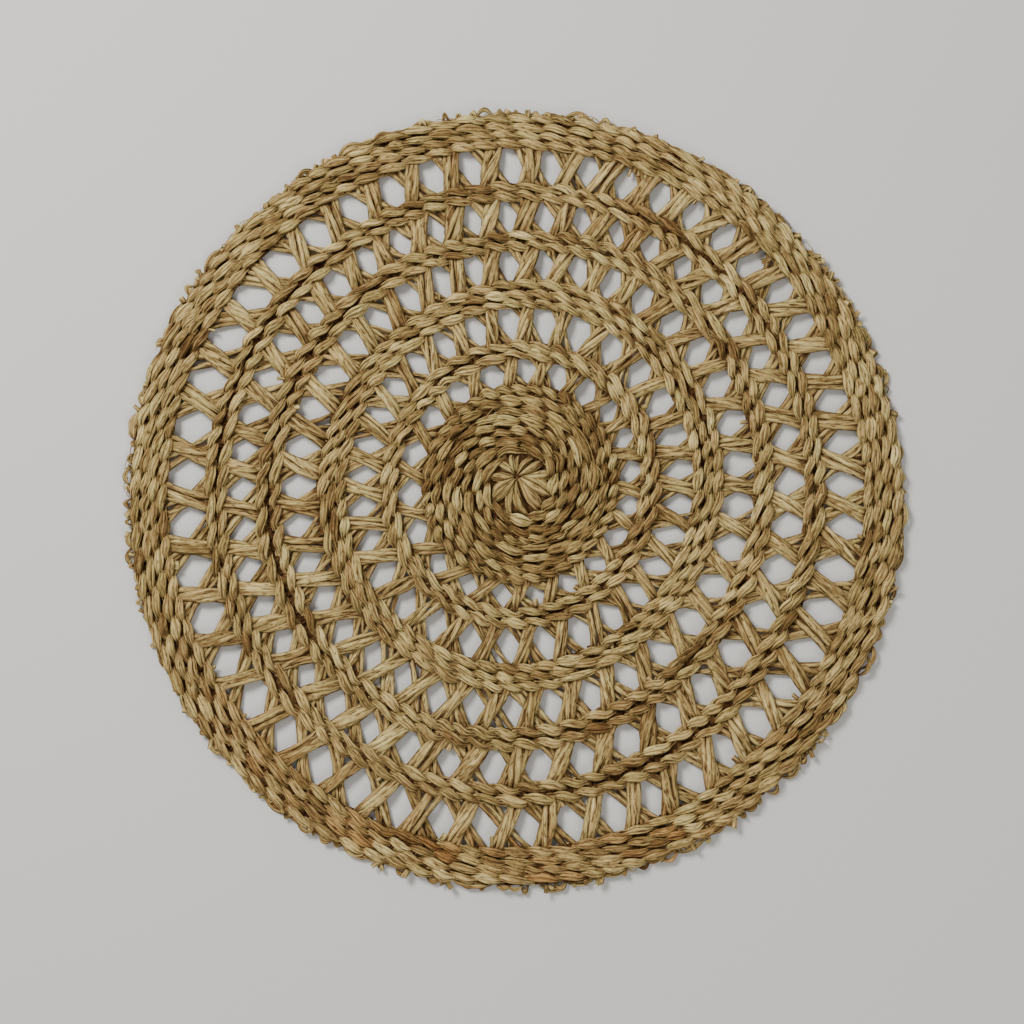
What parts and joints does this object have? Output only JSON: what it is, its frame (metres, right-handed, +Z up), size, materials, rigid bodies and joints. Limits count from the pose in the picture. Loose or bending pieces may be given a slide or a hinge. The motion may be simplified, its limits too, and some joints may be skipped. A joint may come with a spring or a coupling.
{
  "type": "placemat",
  "caption": "Round openwork placemat twined in seagrass: a close disc, rings and a rim of raised rows, with crossed stakes and open gaps between them.",
  "frame": {"origin": "middle of the mat's round outline, on its underside", "axes": "+Z up out of the mat's top face, +X to the right of the picture, +Y to its top"},
  "size_m": [0.3811, 0.3815, 0.0072],
  "materials": {
    "seagrass": "dry, dull and fibrous"
  },
  "bodies": {
    "root": {"seagrass_mat": "seagrass"}
  },
  "joints": []
}
